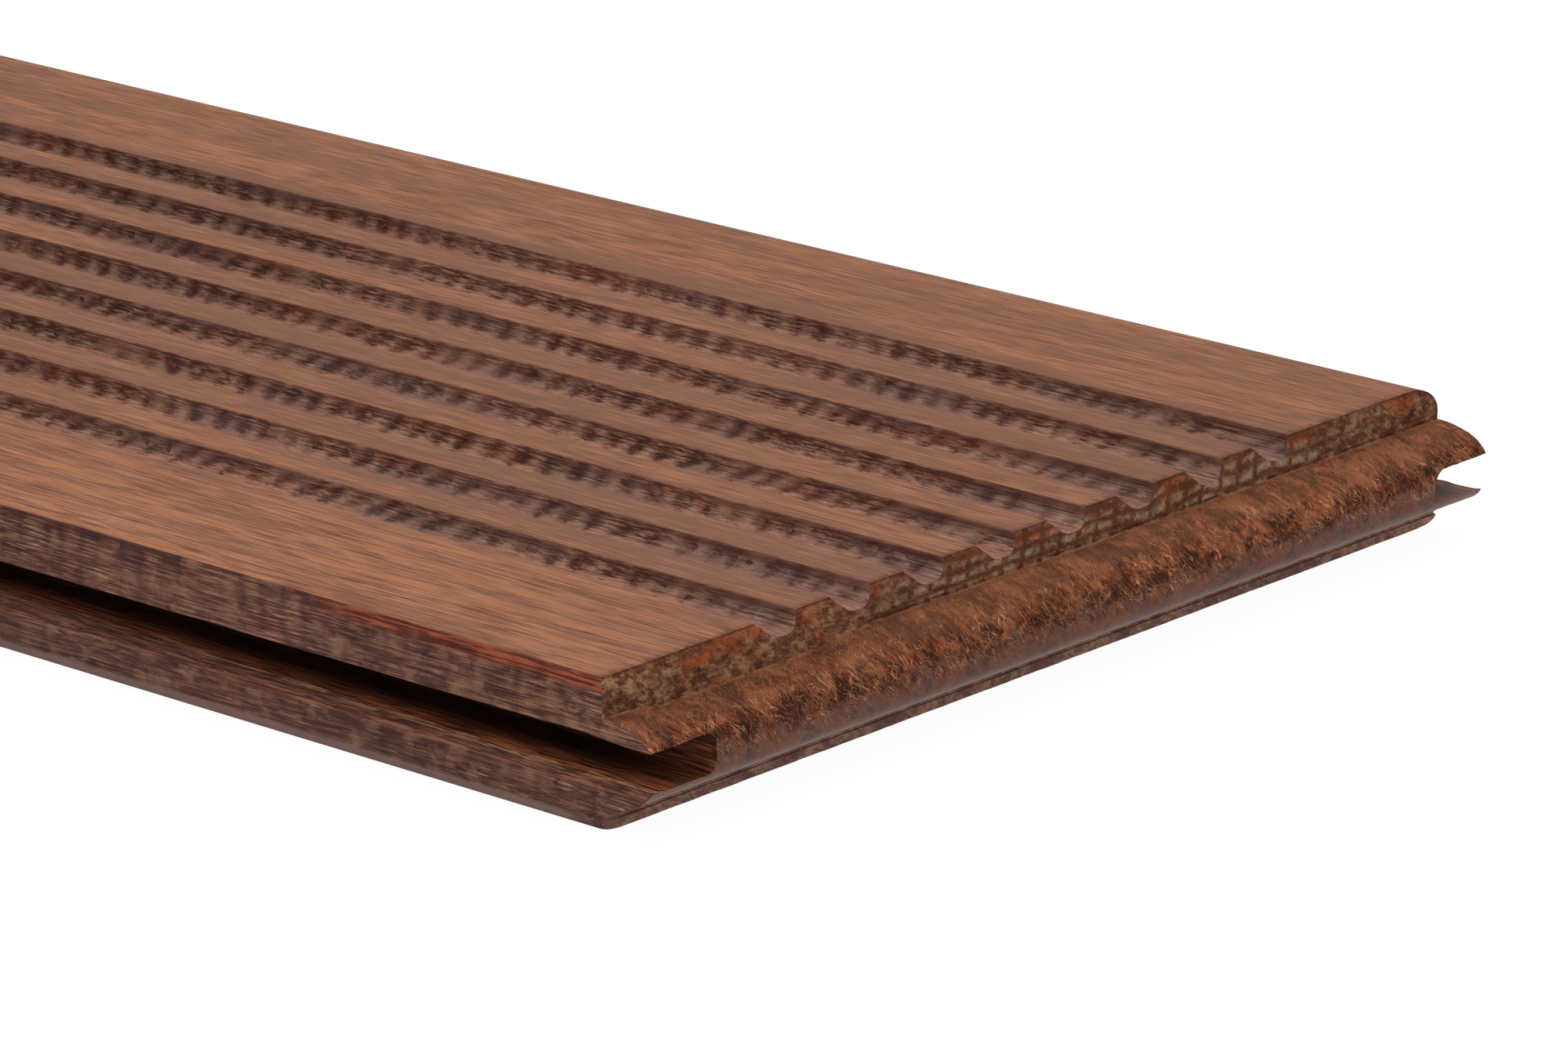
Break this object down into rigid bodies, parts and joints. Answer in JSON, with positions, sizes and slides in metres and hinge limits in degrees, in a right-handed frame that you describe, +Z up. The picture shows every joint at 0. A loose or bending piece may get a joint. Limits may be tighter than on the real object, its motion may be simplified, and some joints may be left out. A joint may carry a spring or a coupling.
{
  "type": "decking board",
  "caption": "Strand woven bamboo decking board with a grooved top, a clip slot along each long edge, a tongue on one end and a matching groove in the other.",
  "frame": {"origin": "middle of the board's footprint on the underside, tongue included", "axes": "+X along the board towards the end with the tongue, +Y across the board towards the eased long edge, +Z up, towards the grooved face"},
  "size_m": [1.85, 0.15, 0.018],
  "materials": {
    "bamboo": "dark heat treated bamboo, oiled satin top with rough dark grooves and edges"
  },
  "bodies": {
    "root": {"decking_board": "bamboo"}
  },
  "joints": []
}
